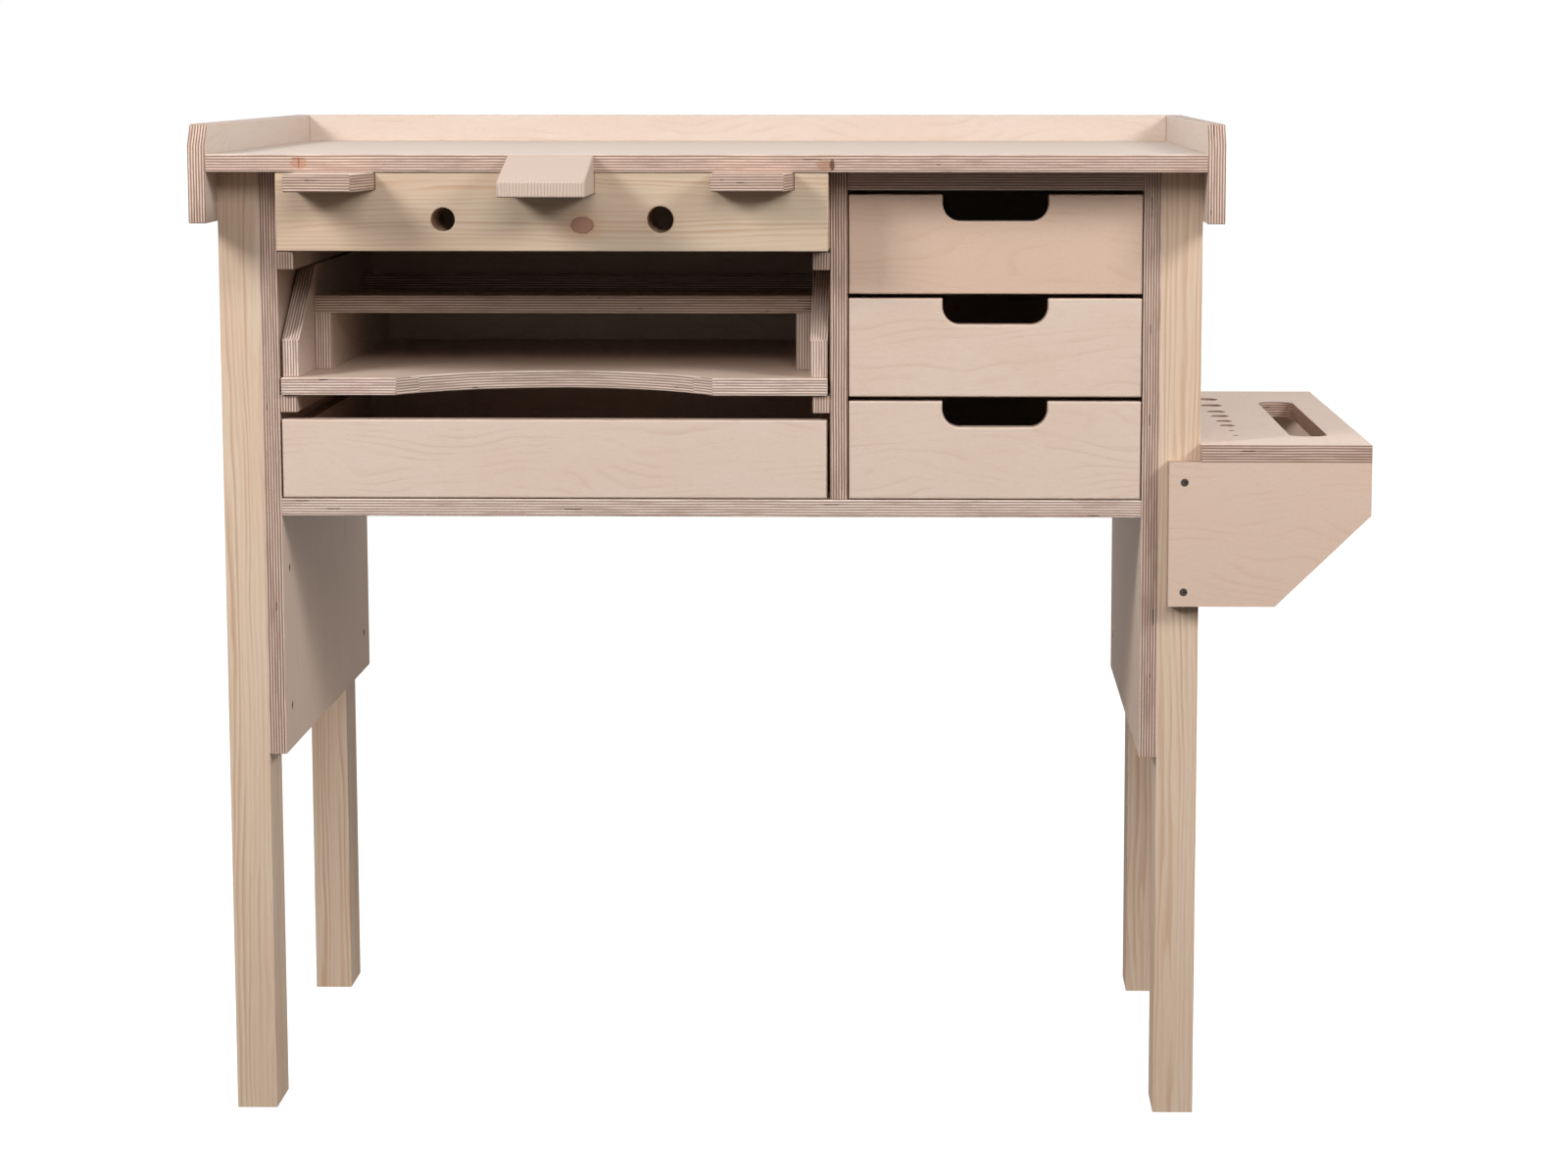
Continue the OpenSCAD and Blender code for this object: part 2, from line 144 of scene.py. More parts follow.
def lamp(name, kind, energy, place, target, **settings):
    """A lamp at a place that shines at a target. It casts light, but only the walls are mirrored."""
    light = bpy.data.lights.new(name, kind)
    light.energy = energy
    for key, value in settings.items():
        setattr(light, key, value)
    lamp_object = bpy.data.objects.new(name, light)
    lamp_object.location = place
    lamp_object.rotation_euler = (Vector(target) - Vector(place)).to_track_quat("-Z", "Y").to_euler()
    lamp_object.visible_glossy = False
    bpy.context.collection.objects.link(lamp_object)


LAMP_HEIGHT = 2.3
LAMP_TARGET = (0, 0, 0.8)
for lamp_name, watts, right, back, wide, tall in (
        ("left_softbox", 57, -2.0, -1.7, 0.8, 0.8),
        ("right_softbox", 53, 2.2, -1.7, 0.8, 0.8),
        ("front_softbox", 33, 0.2, -3.2, 1.4, 0.9)):
    lamp(lamp_name, "AREA", watts, (right, back, LAMP_HEIGHT), LAMP_TARGET, shape="RECTANGLE", size=wide,
         size_y=tall)

# --- Worktop and guards ------------------------------------------------------------------------
# Sanded 18 mm birch plywood, left bare. The faces are rotary-cut veneer, pale with faint contour
# lines and short pores. The sawn edges are drawn with thirteen plies, light where the fibres run along the
# edge and darker where they are cut across. The corners are eased with sandpaper.
AXIS = {"x": Vector((1, 0, 0)), "y": Vector((0, 1, 0)), "z": Vector((0, 0, 1))}
PLIES = 13
BOARD_MM = 18
CONTOUR_MM = 10.0
EASED = 0.0009
WELD = 1e-6
FLAT_WITHIN = radians(0.5)
SHARP_OVER = radians(40)
SMOOTH_UNDER = radians(50)


def wood_attributes(mesh, grain, thick, seed, tone_and_shade):
    """Writes each point's place along the grain, across it and through the thickness, in mm, and how
    each face is cut: 0 along the face, 1 along an edge, 2 across the grain. The tone value is how tan
    the board is: a random tone of its own, or a given value, which on the top drawer's front is painted
    shade."""
    side = thick.cross(grain)
    points = np.empty(len(mesh.vertices) * 3)
    mesh.vertices.foreach_get("co", points)
    axes = np.array([grain, side, thick]).T
    places = points.reshape(-1, 3) @ axes * 1000
    places[:, 2] -= places[:, 2].min()
    draw = random.Random(seed)
    places[:, 0] += draw.uniform(0, 4000)
    places[:, 1] += draw.uniform(0, 4000)
    wood = mesh.attributes.new("wood", "FLOAT_VECTOR", "POINT")
    wood.data.foreach_set("vector", places.astype(np.float32).ravel())
    cuts = []
    for face in mesh.polygons:
        if abs(face.normal.dot(thick)) > 0.8:
            cuts.append(0.0)
        elif abs(face.normal.dot(grain)) > 0.7:
            cuts.append(2.0)
        else:
            cuts.append(1.0)
    mesh.attributes.new("cut", "FLOAT", "FACE").data.foreach_set("value", cuts)
    tone_and_shade = draw.uniform(0.0, 0.25) if tone_and_shade is None else tone_and_shade
    mesh.attributes.new("tone_and_shade", "FLOAT", "FACE").data.foreach_set("value", [tone_and_shade] * len(cuts))


def eased_board(node, body, material, grain=None, thick=None, eased=EASED, segments=2,
                tone_and_shade=None):
    """A copy of a CAD board with its corners eased, which takes that board's place."""
    low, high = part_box(node)
    by_size = sorted("xyz", key=lambda a: AXIS[a].dot(high - low))
    grain = AXIS[by_size[2]] if grain is None else grain
    thick = AXIS[by_size[0]] if thick is None else thick
    shape = bmesh.new()
    shape.from_mesh(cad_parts[node].data)
    bmesh.ops.remove_doubles(shape, verts=shape.verts, dist=WELD)
    bmesh.ops.dissolve_limit(shape, angle_limit=FLAT_WITHIN, verts=shape.verts, edges=shape.edges)
    sharp = [e for e in shape.edges if len(e.link_faces) == 2 and e.calc_face_angle() > SHARP_OVER]
    rounded = set(bmesh.ops.bevel(shape, geom=sharp, offset=eased, segments=segments, profile=0.5,
                                  affect="EDGES", clamp_overlap=True)["faces"])
    # The flat faces keep their own normals, so that no shade runs across them from an eased corner.
    for edge in shape.edges:
        borders = [f in rounded for f in edge.link_faces]
        edge.smooth = len(borders) < 2 or (borders[0] == borders[1]
                                           and edge.calc_face_angle() < SMOOTH_UNDER)
    for face in shape.faces:
        face.smooth = True
    bmesh.ops.triangulate(shape, faces=[f for f in shape.faces if len(f.verts) > 4])
    mesh = bpy.data.meshes.new(node + "_wood")
    shape.to_mesh(mesh)
    shape.free()
    mesh.materials.append(material)
    wood_attributes(mesh, grain, thick, node, tone_and_shade)
    piece = bpy.data.objects.new(node + "_wood", mesh)
    bpy.context.collection.objects.link(piece)
    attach(piece, body)
    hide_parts(node)
    return piece


def scaled(tree, vector, x, y, z):
    """A vector whose three parts are multiplied by x, y and z."""
    return add(tree, "ShaderNodeVectorMath", {"operation": "MULTIPLY"}, _0=vector, _1=(x, y, z))


def maths(tree, operation, a, b=0.0, clamp=False):
    """One sum of two numbers or sockets."""
    return add(tree, "ShaderNodeMath", {"operation": operation, "use_clamp": clamp}, _0=a, _1=b)


def between(tree, value, start, end):
    """0 below start, 1 above end and a smooth step between them."""
    return add(tree, "ShaderNodeMapRange", {"interpolation_type": "SMOOTHSTEP"},
               Value=value, From_Min=start, From_Max=end)


def noise(tree, vector, detail=2.0, rough=0.5, swirl=0.0):
    """Soft noise, one lump for each unit of the vector."""
    return add(tree, "ShaderNodeTexNoise", Vector=vector, Scale=1.0, Detail=detail, Roughness=rough,
               Distortion=swirl).outputs["Fac"]


def blend_colour(tree, amount, first, second, how="MIX"):
    """Mixes two colours; each is a hex value, a linear colour or a socket."""
    first, second = [linear(c) if isinstance(c, str) else c for c in (first, second)]
    node = add(tree, "ShaderNodeMix", {"data_type": "RGBA", "blend_type": how}, _0=amount, _6=first,
               _7=second)
    return node.outputs[2]


def finish_wood(material, colour, relief, roughness=0.55, bump_mm=0.15):
    """A bare sanded wood surface of a colour, with its fibres as relief."""
    tree = material.node_tree
    normal = add(tree, "ShaderNodeBump", Strength=0.5, Distance=bump_mm / 1000, Height=relief)
    shader = add(tree, "ShaderNodeBsdfPrincipled", Base_Color=colour, Roughness=roughness, Normal=normal)
    add(tree, "ShaderNodeOutputMaterial", Surface=shader)


def plywood(name, plies=("#dac5b6", "#8a6d5f"), face="#dccabc", tan="#cca689", line="#b98f74",
            lines=1.0, knots=()):
    """Birch plywood. A ply is 18/13 mm thick. Contour lines of the veneer lie about 10 mm apart."""
    material = new_material(name)
    tree = material.node_tree
    wood = add(tree, "ShaderNodeAttribute", {"attribute_name": "wood"}).outputs["Vector"]
    cut = add(tree, "ShaderNodeAttribute", {"attribute_name": "cut"}).outputs["Fac"]
    tone_and_shade = add(tree, "ShaderNodeAttribute", {"attribute_name": "tone_and_shade"}).outputs["Fac"]
    # Rotary-cut veneer: lines nearly along the grain that wander, close up and fade away.
    across = add(tree, "ShaderNodeSeparateXYZ", Vector=wood).outputs["Y"]
    wander = noise(tree, scaled(tree, wood, 1 / 190, 1 / 75, 0), detail=1.5, rough=0.4)
    ripple = noise(tree, scaled(tree, wood, 1 / 26, 1 / 14, 0), detail=1.0)
    phase = maths(tree, "ADD", maths(tree, "DIVIDE", across, CONTOUR_MM),
                  maths(tree, "MULTIPLY", wander, 10.0))
    phase = maths(tree, "FRACT", maths(tree, "ADD", phase, maths(tree, "MULTIPLY", ripple, 0.25)))
    contour = maths(tree, "MULTIPLY", between(tree, phase, 0.4, 0.93),
                    maths(tree, "SUBTRACT", 1.0, between(tree, phase, 0.94, 1.0)))
    fade = between(tree, noise(tree, scaled(tree, wood, 1 / 95, 1 / 30, 0), detail=2.0), 0.38, 0.68)
    contour = maths(tree, "MULTIPLY", maths(tree, "MULTIPLY", contour, contour), fade)
    cloud = noise(tree, scaled(tree, wood, 1 / 130, 1 / 55, 0), detail=2.0)
    fibre = noise(tree, scaled(tree, wood, 1 / 16, 1 / 0.8, 1 / 3), detail=3.0, rough=0.65)
    pores = between(tree, noise(tree, scaled(tree, wood, 1 / 5, 1 / 0.7, 0), detail=1.0), 0.64, 0.74)
    # Mixed towards tan by the tone value: a random tone on most boards, and painted shade on the top drawer's
    # front.
    veneer = blend_colour(tree, maths(tree, "MULTIPLY", tone_and_shade, 0.7), face, tan)
    veneer = blend_colour(tree, maths(tree, "MULTIPLY", contour, 0.21 * lines), veneer, line)
    veneer = blend_colour(tree, maths(tree, "MULTIPLY", between(tree, cloud, 0.35, 0.7), 0.2),
                          veneer, "#d2b49f")
    veneer = blend_colour(tree, maths(tree, "MULTIPLY", between(tree, fibre, 0.35, 0.7), 0.2),
                          veneer, "#c19a80")
    veneer = blend_colour(tree, maths(tree, "MULTIPLY", pores, 0.24), veneer, "#94694f")
    # Sawn edge: plies of alternate direction with a dark glue line between them.
    through = add(tree, "ShaderNodeSeparateXYZ", Vector=wood).outputs["Z"]
    waver = noise(tree, scaled(tree, wood, 1 / 60, 1 / 60, 0), detail=2.0)
    layer = maths(tree, "ADD", maths(tree, "MULTIPLY", through, PLIES / BOARD_MM),
                  maths(tree, "MULTIPLY", maths(tree, "SUBTRACT", waver, 0.5), 0.7))
    number = maths(tree, "FLOOR", layer)
    along = maths(tree, "FRACT", layer)
    turned = maths(tree, "ADD", number, maths(tree, "GREATER_THAN", cut, 1.5))
    crossed = maths(tree, "PINGPONG", turned, 1.0)
    step = add(tree, "ShaderNodeCombineXYZ", Z=maths(tree, "MULTIPLY", number, 7.31))
    place = add(tree, "ShaderNodeVectorMath", {"operation": "ADD"},
                _0=scaled(tree, wood, 1 / 48, 1 / 48, 0), _1=step)
    patch = noise(tree, place, detail=3.0)
    ply_colour = blend_colour(tree, crossed, *plies)
    ply_colour = blend_colour(tree, maths(tree, "MULTIPLY", between(tree, patch, 0.42, 0.7), 0.45),
                              ply_colour, "#8d6f60")
    seam = between(tree, maths(tree, "ABSOLUTE", maths(tree, "SUBTRACT", along, 0.5)), 0.36, 0.48)
    ply_colour = blend_colour(tree, maths(tree, "MULTIPLY", seam, 0.4), ply_colour, "#76584a")
    # Small voids in the cross plies: a near-black patch of painted shade inside each gap, with a shallow dip
    # in the relief.
    hollow = maths(tree, "MULTIPLY", between(tree, patch, 0.69, 0.705), crossed)
    ply_colour = blend_colour(tree, maths(tree, "MULTIPLY", hollow, 0.9), ply_colour, "#35201a")
    grit = noise(tree, scaled(tree, wood, 0.9, 0.9, 0.9), detail=2.0)
    ply_colour = blend_colour(tree, maths(tree, "MULTIPLY", between(tree, grit, 0.4, 0.75), 0.2),
                              ply_colour, "#94705c")
    for knot in knots:
        ply_colour = edge_knot(tree, ply_colour, wood, knot)
    on_edge = maths(tree, "GREATER_THAN", cut, 0.5)
    colour = blend_colour(tree, on_edge, veneer, ply_colour)
    relief = maths(tree, "SUBTRACT", fibre, maths(tree, "MULTIPLY", maths(tree, "ADD", pores, hollow), 0.6))
    finish_wood(material, colour, relief, roughness=0.48)
    return material


def edge_knot(tree, colour, wood, knot):
    """A knot that the saw has cut through, seen on an edge as a reddish patch with ragged ends."""
    here = add(tree, "ShaderNodeTexCoord").outputs["Object"]
    away = add(tree, "ShaderNodeVectorMath", {"operation": "SUBTRACT"}, _0=here, _1=knot["place"])
    away = scaled(tree, away, 1000 / knot["half_w"], 0, 1000 / knot["half_h"])
    ragged = noise(tree, scaled(tree, wood, 1 / 3, 1 / 3, 1 / 1.4), detail=2.0)
    reach = add(tree, "ShaderNodeVectorMath", {"operation": "LENGTH"}, _0=away).outputs["Value"]
    reach = maths(tree, "ADD", reach, maths(tree, "MULTIPLY", maths(tree, "SUBTRACT", ragged, 0.5), 0.9))
    inside = maths(tree, "SUBTRACT", 1.0, between(tree, reach, 0.7, 1.15))
    return blend_colour(tree, maths(tree, "MULTIPLY", inside, knot["depth"]), colour, knot["colour"])


birch_plywood = plywood("sanded birch plywood")
# Each knot or dark streak: metres right of the worktop's middle and above its underside, half its
# width and height in mm, how strong it is, and its colour.
TOP_KNOTS = [
    {"place": Vector((top_mid_x + right, top_low.y, top_low.z + rise)), "half_w": half_w, "half_h": half_h,
     "depth": depth, "colour": colour}
    for right, rise, half_w, half_h, depth, colour in (
        (-0.411, 0.0088, 9.0, 5.5, 0.5, "#a86a47"),
        (-0.411, 0.0088, 0.9, 5.5, 0.6, "#6b3d28"),
        (-0.411, 0.0137, 9.0, 0.7, 0.8, "#7a3f28"),
        (0.1215, 0.0075, 10.0, 6.5, 0.55, "#9c6b4c"),
        (0.1280, 0.0075, 2.6, 6.0, 0.8, "#4a2a1a"),
        (0.1078, 0.0130, 12.0, 0.7, 0.85, "#4d301f"),
        (0.1405, 0.0127, 11.0, 0.5, 0.6, "#6b4a3a"),
        (0.1235, 0.0168, 15.0, 0.7, 0.5, "#9a6547"),
    )
]
# The worktop's veneer is greyer and less red than the other boards': painted sheen, standing in for the pale
# grazing reflection on its top, alongside the shader's own gloss.
top_plywood = plywood("sanded birch plywood with knots", plies=("#e3cebf", "#95776a"), face="#d2c6bc",
                      knots=TOP_KNOTS)
guard_plywood = plywood("sanded birch plywood, guards", face="#dacdc2")
BENCH = "bench"
eased_board("worktop", BENCH, top_plywood)
for board_name in ("guard_left", "guard_right", "guard_back"):
    eased_board(board_name, BENCH, guard_plywood)

# --- Cabinet ---------------------------------------------------------------------------------------
# The gables stand inside the legs and carry the floor, the divider, the back and the rail. Square
# strips sawn from the same plywood are screwed to them as runners, with their plies upright.
light_plywood = plywood("sanded birch plywood, light plies", plies=("#eddcd1", "#a68c7f"))
# A copy of the plywood with a tanner, darker face for the gables, back, divider and bay rail: painted shade
# for boards that stand in the cabinet's shade.
painted_shade_plywood = plywood("sanded birch plywood, painted shade face", face="#dac3b0")
for board_name in ("gable_left", "gable_right", "cabinet_back", "divider", "bay_rail"):
    eased_board(board_name, BENCH, painted_shade_plywood)
eased_board("cabinet_floor", BENCH, light_plywood)
for strip_name in ("tray_kicker_left", "tray_kicker_right", "tray_runner_left", "tray_runner_right",
                   "drawer_runners_left", "drawer_runners_right"):
    eased_board(strip_name, BENCH, birch_plywood, grain=AXIS["y"], thick=AXIS["x"])
eased_board("rest_keepers", BENCH, birch_plywood, grain=AXIS["x"], thick=AXIS["z"])

# --- Legs and apron ----------------------------------------------------------------------------
# Planed pine, left bare. Each piece is sawn from a log, so its growth rings are cylinders round a
# pith outside the piece: straight lines along the faces and arcs on the ends. The apron has a knot
# that its lines flow round.
RING_MM = 5.2


def pine(name, pith=(38.0, 90.0), knot=None, early="#dec9b3", late="#b88e6c"):
    """Planed pine. Growth rings are about 5 mm wide; the late wood of each is darker and narrow."""
    material = new_material(name)
    tree = material.node_tree
    wood = add(tree, "ShaderNodeAttribute", {"attribute_name": "wood"}).outputs["Vector"]
    ring_place = add(tree, "ShaderNodeAttribute", {"attribute_name": "rings"}).outputs["Vector"]
    cut = add(tree, "ShaderNodeAttribute", {"attribute_name": "cut"}).outputs["Fac"]
    wander = noise(tree, scaled(tree, ring_place, 1 / 330, 1 / 26, 1 / 26), detail=2.0)
    across = add(tree, "ShaderNodeVectorMath", {"operation": "ADD"}, _0=ring_place, _1=(0, pith[0], pith[1]))
    flat = scaled(tree, across, 0, 1, 1)
    radius = add(tree, "ShaderNodeVectorMath", {"operation": "LENGTH"}, _0=flat).outputs["Value"]
    radius = maths(tree, "ADD", radius, maths(tree, "MULTIPLY", wander, 26.0))
    ring = maths(tree, "FRACT", maths(tree, "DIVIDE", radius, RING_MM))
    late_wood = maths(tree, "MULTIPLY", between(tree, ring, 0.2, 0.88),
                      maths(tree, "SUBTRACT", 1.0, between(tree, ring, 0.9, 1.0)))
    strength = between(tree, noise(tree, scaled(tree, ring_place, 1 / 500, 1 / 9, 1 / 9)), 0.35, 0.68)
    strength = maths(tree, "ADD", maths(tree, "MULTIPLY", strength, 0.5), 0.12)
    late_wood = maths(tree, "MULTIPLY", late_wood, strength)
    fibre = noise(tree, scaled(tree, wood, 1 / 26, 1.1, 1.1), detail=3.0, rough=0.65)
    cloud = noise(tree, scaled(tree, wood, 1 / 260, 1 / 40, 1 / 40), detail=1.0)
    colour = blend_colour(tree, late_wood, early, late)
    colour = blend_colour(tree, maths(tree, "MULTIPLY", between(tree, cloud, 0.3, 0.7), 0.3),
                          colour, "#d3b094")
    colour = blend_colour(tree, maths(tree, "MULTIPLY", between(tree, fibre, 0.4, 0.7), 0.2),
                          colour, "#bd957a")
    end = maths(tree, "GREATER_THAN", cut, 1.5)
    colour = blend_colour(tree, maths(tree, "MULTIPLY", end, 0.4), colour, "#a98468")
    if knot is not None:
        colour = knot_colour(tree, colour, wood, knot)
    relief = maths(tree, "SUBTRACT", fibre, maths(tree, "MULTIPLY", late_wood, 0.4))
    finish_wood(material, colour, relief, roughness=0.5)
    return material


def knot_colour(tree, colour, wood, knot):
    """A sound knot: a pinkish core with fine rings and a darker rim of bark."""
    here = add(tree, "ShaderNodeTexCoord").outputs["Object"]
    away = add(tree, "ShaderNodeVectorMath", {"operation": "SUBTRACT"}, _0=here, _1=knot["place"])
    away = scaled(tree, away, 1000 / knot["half_w"], 0, 1000 / knot["half_h"])
    reach = add(tree, "ShaderNodeVectorMath", {"operation": "LENGTH"}, _0=away).outputs["Value"]
    ragged = noise(tree, scaled(tree, wood, 1 / 5, 1 / 5, 0), detail=2.0)
    reach = maths(tree, "ADD", reach, maths(tree, "MULTIPLY", maths(tree, "SUBTRACT", ragged, 0.5), 0.3))
    halo = maths(tree, "MULTIPLY", maths(tree, "SUBTRACT", 1.0, between(tree, reach, 1.0, 2.6)), 0.35)
    colour = blend_colour(tree, halo, colour, "#cda07c")
    rings = maths(tree, "FRACT", maths(tree, "MULTIPLY", reach, 3.5))
    core = blend_colour(tree, maths(tree, "MULTIPLY", rings, 0.45), "#ad8370", "#996d5b")
    inside = maths(tree, "SUBTRACT", 1.0, between(tree, reach, 0.84, 0.98))
    rim = maths(tree, "MULTIPLY", between(tree, reach, 0.78, 0.92),
                maths(tree, "SUBTRACT", 1.0, between(tree, reach, 0.96, 1.1)))
    colour = blend_colour(tree, inside, colour, core)
    return blend_colour(tree, maths(tree, "MULTIPLY", rim, 0.6), colour, "#7c4c3a")


def ring_attribute(mesh, grain, thick, turn, knot=None):
    """Writes where each point lies in the log, in mm, with the lines pushed aside round a knot."""
    side = thick.cross(grain)
    across = cos(turn) * side + sin(turn) * thick
    upright = cos(turn) * thick - sin(turn) * side
    places = []
    for vertex in mesh.vertices:
        point = vertex.co
        if knot is not None:
            away = point - knot["place"]
            near = (away.x * 1000 / knot["flow_w"]) ** 2 + (away.z * 1000 / knot["flow_h"]) ** 2
            point = point - Vector((0, 0, away.z * 0.9 * np.exp(-near)))
        places += [point.dot(grain) * 1000, point.dot(across) * 1000, point.dot(upright) * 1000]
    mesh.attributes.new("rings", "FLOAT_VECTOR", "POINT").data.foreach_set("vector", places)


planed_pine = pine("planed pine")
LEG_TURNS = {"leg_front_left": 20, "leg_front_right": 75, "leg_back_left": 110, "leg_back_right": 160}
for leg_name, turn in LEG_TURNS.items():
    leg = eased_board(leg_name, BENCH, planed_pine, eased=0.0016, segments=3)
    ring_attribute(leg.data, AXIS["z"], AXIS["x"], radians(turn))

apron_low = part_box("apron")[0]
KNOT = {
    "place": Vector((apron_low.x + 0.3212, apron_low.y, apron_low.z + 0.0265)),
    "half_w": 12.0, "half_h": 8.5, "flow_w": 46.0, "flow_h": 22.0,
}
# The apron's pine is darker than the legs': partly its own wood, and partly painted shade standing in for the
# shadows that the arm rests and bench pin cast on it.
knotty_pine_with_painted_shade = pine("planed pine with a knot", pith=(38.0, 160.0), knot=KNOT, early="#cbb9a3", late="#aa8568")
apron = eased_board("apron", BENCH, knotty_pine_with_painted_shade, eased=0.0012)
ring_attribute(apron.data, AXIS["x"], AXIS["y"], radians(70), KNOT)

# --- Bench pin ---------------------------------------------------------------------------------
# A wedge of sanded beech, which the goldsmith saws and files against. The grain runs skew to its
# sides, so the growth lines cross the top slantwise and stand upright on the nose's end grain.
def beech(name):
    """Sanded beech. Growth lines lie 2 to 3 mm apart; the short dark rays are about 2 mm long."""
    material = new_material(name)
    tree = material.node_tree
    wood = add(tree, "ShaderNodeAttribute", {"attribute_name": "wood"}).outputs["Vector"]
    wander = noise(tree, scaled(tree, wood, 1 / 90, 1 / 18, 1 / 60), detail=2.0)
    across = add(tree, "ShaderNodeSeparateXYZ", Vector=wood).outputs["Y"]
    across = maths(tree, "ADD", across, maths(tree, "MULTIPLY", wander, 6.0))
    ring = maths(tree, "FRACT", maths(tree, "DIVIDE", across, 2.6))
    late = maths(tree, "MULTIPLY", between(tree, ring, 0.4, 0.9),
                 maths(tree, "SUBTRACT", 1.0, between(tree, ring, 0.92, 1.0)))
    rays = between(tree, noise(tree, scaled(tree, wood, 1 / 2, 2.4, 1 / 2), detail=1.0), 0.62, 0.72)
    fibre = noise(tree, scaled(tree, wood, 1 / 9, 1.8, 1.2), detail=3.0, rough=0.6)
    colour = blend_colour(tree, maths(tree, "MULTIPLY", late, 0.6), "#cdbbae", "#a07f6a")
    colour = blend_colour(tree, maths(tree, "MULTIPLY", between(tree, fibre, 0.4, 0.7), 0.14),
                          colour, "#c49e83")
    colour = blend_colour(tree, maths(tree, "MULTIPLY", rays, 0.2), colour, "#a98065")
    finish_wood(material, colour, fibre, roughness=0.5)
    return material


PIN_SKEW = radians(32)
eased_board("bench_pin", BENCH, beech("sanded beech"), eased=0.0018, segments=3,
            grain=Vector((sin(PIN_SKEW), cos(PIN_SKEW), 0)), thick=AXIS["z"])

# --- Arm rests ---------------------------------------------------------------------------------
# Plywood boards that slide out from under the worktop, through the apron. The sawn front and the
# bevelled corner towards the bench pin show the plies.
for rest_name in ("arm_rest_left", "arm_rest_right"):
    eased_board(rest_name, rest_name, birch_plywood, grain=AXIS["y"], thick=AXIS["z"],
                eased=0.0015, segments=3)

# --- Tray --------------------------------------------------------------------------------------
# A plywood tray on two runners, with a belly cut-out in front, sloping sides and a tool shelf that
# tilts back so that nothing rolls off.
TILT = radians(2.8)
tray_slope = Vector((0, sin(TILT), cos(TILT)))
for board_name in ("tray_base", "tray_side_left", "tray_side_right", "tray_post_left", "tray_post_right",
                   "tray_back"):
    eased_board(board_name, "tray", light_plywood)
for board_name in ("tray_shelf", "tray_ledge"):
    eased_board(board_name, "tray", birch_plywood, grain=AXIS["x"], thick=tray_slope)

# --- Drawers -----------------------------------------------------------------------------------
# Plywood boxes. The fronts are cut from one sheet with faint contour lines, and their edges and
# finger notches are rounded over.
front_plywood = plywood("birch plywood drawer front", lines=1.15)
# The top drawer's front gets a high tone value, so it is tanner and darker: painted shade from the worktop
# above it. The other fronts get a small tone of their own.
FRONT_TONE_AND_SHADE = {"wide_drawer": 0.05, "low_drawer": 0.08, "mid_drawer": 0.15, "top_drawer": 0.7}
for drawer, front_tone_and_shade in FRONT_TONE_AND_SHADE.items():
    eased_board(drawer + "_front", drawer, front_plywood, eased=0.0018, segments=3,
                tone_and_shade=front_tone_and_shade)
    for part in ("side_left", "side_right", "back", "bottom"):
        eased_board(f"{drawer}_{part}", drawer, birch_plywood, eased=0.0006)

# --- Tool rack ---------------------------------------------------------------------------------
# A plywood board on two brackets beside the right legs, with a sawn slot and a row of drilled
# holes, from 7 to 28 mm across, for files, gravers and mandrels.
eased_board("rack_board", BENCH, birch_plywood)
for board_name in ("rack_bracket_front", "rack_bracket_back"):
    eased_board(board_name, BENCH, birch_plywood, tone_and_shade=0.45)

# --- Screws ------------------------------------------------------------------------------------
# Zinc-plated countersunk wood screws with a cross recess, driven just below the plywood's face.
# They hold the gables and the rack's brackets to the legs.
def solids(node):
    """The corners of each separate solid in a CAD node."""
    shape = bmesh.new()
    shape.from_mesh(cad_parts[node].data)
    bmesh.ops.remove_doubles(shape, verts=shape.verts, dist=WELD)
    found, waiting = [], set(shape.verts)
    while waiting:
        edge_of = [waiting.pop()]
        island = []
        while edge_of:
            vertex = edge_of.pop()
            island.append(vertex.co.copy())
            for edge in vertex.link_edges:
                other = edge.other_vert(vertex)
                if other in waiting:
                    waiting.remove(other)
                    edge_of.append(other)
        found.append(island)
    shape.free()
    return found


def screw_axis(corners):
    """Where a screw's head is centred, and the direction that the screw points in."""
    low = Vector(map(min, zip(*corners)))
    high = Vector(map(max, zip(*corners)))
    size = high - low
    run = max(range(3), key=lambda i: size[i])
    middle = (low + high) / 2
    widest = max(corners, key=lambda c: sum((c[i] - middle[i]) ** 2 for i in range(3) if i != run))
    into = Vector((0, 0, 0))
    into[run] = 1.0 if widest[run] < middle[run] else -1.0
    head = middle.copy()
    head[run] = low[run] if into[run] > 0 else high[run]
    return head, into


SCREW_SIZES = {"Head diameter": 0.008, "Head depth": 0.003, "Shank diameter": 0.004, "Length": 0.045,
               "Recess width": 0.0016, "Recess span": 0.0054, "Recess depth": 0.0016}


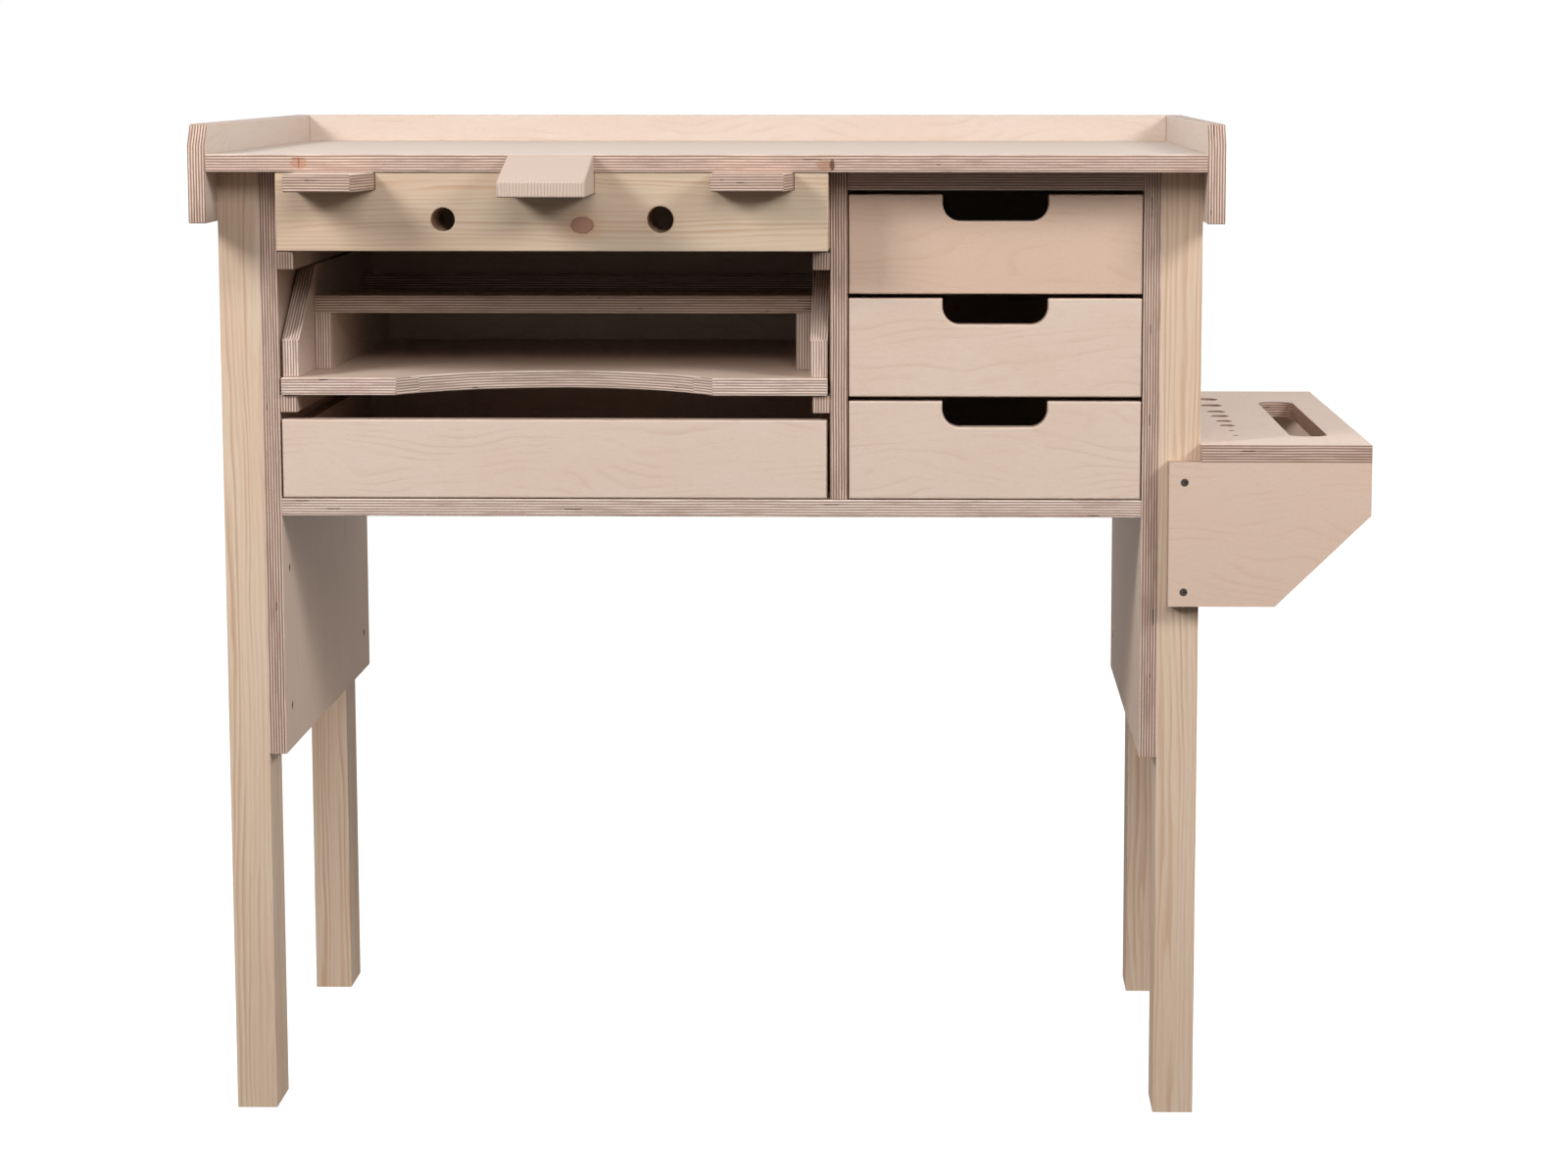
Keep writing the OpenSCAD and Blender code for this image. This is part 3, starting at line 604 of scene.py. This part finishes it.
def screw_tree(material):
    """Geometry Nodes that set one countersunk screw on every point, turned to its 'into' vector."""
    tree = bpy.data.node_groups.new("countersunk screws", "GeometryNodeTree")
    tree.interface.new_socket("Points", in_out="INPUT", socket_type="NodeSocketGeometry")
    for name, size in SCREW_SIZES.items():
        tree.interface.new_socket(name, in_out="INPUT", socket_type="NodeSocketFloat").default_value = size
    tree.interface.new_socket("Screws", in_out="OUTPUT", socket_type="NodeSocketGeometry")
    given = add(tree, "NodeGroupInput").outputs

    def half(name):
        return add(tree, "ShaderNodeMath", {"operation": "MULTIPLY"}, _0=given[name], _1=0.5)

    head = add(tree, "GeometryNodeMeshCone", Vertices=28, Radius_Top=half("Shank diameter"),
               Radius_Bottom=half("Head diameter"), Depth=given["Head depth"])
    recess = []
    for wide, deep in (("Recess span", "Recess width"), ("Recess width", "Recess span")):
        size = add(tree, "ShaderNodeCombineXYZ", X=given[wide], Y=given[deep],
                   Z=add(tree, "ShaderNodeMath", {"operation": "MULTIPLY"}, _0=given["Recess depth"], _1=2.0))
        recess.append(add(tree, "GeometryNodeMeshCube", Size=size))
    cut = add(tree, "GeometryNodeMeshBoolean", {"operation": "DIFFERENCE"}, _0=head)
    for bar in recess:
        tree.links.new(bar.outputs[0], cut.inputs[1])
    shank_length = add(tree, "ShaderNodeMath", {"operation": "SUBTRACT"}, _0=given["Length"],
                       _1=given["Head depth"])
    shank = add(tree, "GeometryNodeMeshCone", Vertices=20, Radius_Bottom=half("Shank diameter"),
                Radius_Top=half("Recess width"), Depth=shank_length)
    lift = add(tree, "ShaderNodeCombineXYZ", Z=given["Head depth"])
    shank = add(tree, "GeometryNodeTransform", Geometry=shank, Translation=lift)
    screw = add(tree, "GeometryNodeJoinGeometry")
    for part in (cut, shank):
        tree.links.new(part.outputs[0], screw.inputs[0])
    into = add(tree, "GeometryNodeInputNamedAttribute", {"data_type": "FLOAT_VECTOR"}, Name="into")
    turn = add(tree, "FunctionNodeAlignRotationToVector", {"axis": "Z"}, Vector=into)
    placed = add(tree, "GeometryNodeInstanceOnPoints", Points=given["Points"], Instance=screw, Rotation=turn)
    real = add(tree, "GeometryNodeRealizeInstances", Geometry=placed)
    painted = add(tree, "GeometryNodeSetMaterial", Geometry=real, Material=material)
    add(tree, "NodeGroupOutput", Screws=painted)
    return tree


def zinc_plate(name):
    """Zinc plate on steel that has dulled and darkened: satin, with a faint cloudy tarnish a
    millimetre or two across."""
    material = new_material(name)
    tree = material.node_tree
    here = add(tree, "ShaderNodeTexCoord").outputs["Object"]
    cloud = noise(tree, scaled(tree, here, 600, 600, 600), detail=3.0)
    colour = blend_colour(tree, between(tree, cloud, 0.35, 0.7), "#7b736a", "#574e46")
    rough = add(tree, "ShaderNodeMapRange", Value=cloud, To_Min=0.28, To_Max=0.5)
    shader = add(tree, "ShaderNodeBsdfPrincipled", Base_Color=colour, Metallic=1.0, Roughness=rough)
    add(tree, "ShaderNodeOutputMaterial", Surface=shader)
    return material


zinc = zinc_plate("zinc-plated steel")
screws = screw_tree(zinc)
for screw_node in ("rack_screws", "gable_screws"):
    axes = [screw_axis(corners) for corners in solids(screw_node)]
    points = bpy.data.meshes.new(screw_node + "_places")
    points.from_pydata([head for head, into in axes], [], [])
    into_values = [v for head, into in axes for v in into]
    points.attributes.new("into", "FLOAT_VECTOR", "POINT").data.foreach_set("vector", into_values)
    maker = bpy.data.objects.new(screw_node + "_maker", points)
    bpy.context.collection.objects.link(maker)
    modifier = maker.modifiers.new("screws", "NODES")
    modifier.node_group = screws
    for socket in screws.interface.items_tree:
        if socket.in_out == "INPUT" and socket.name in SCREW_SIZES:
            modifier[socket.identifier] = SCREW_SIZES[socket.name]
    bpy.context.view_layer.update()
    made = bpy.data.meshes.new_from_object(maker.evaluated_get(bpy.context.evaluated_depsgraph_get()))
    bpy.data.objects.remove(maker)
    piece = bpy.data.objects.new(screw_node + "_steel", made)
    bpy.context.collection.objects.link(piece)
    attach(piece, BENCH)
    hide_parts(screw_node)
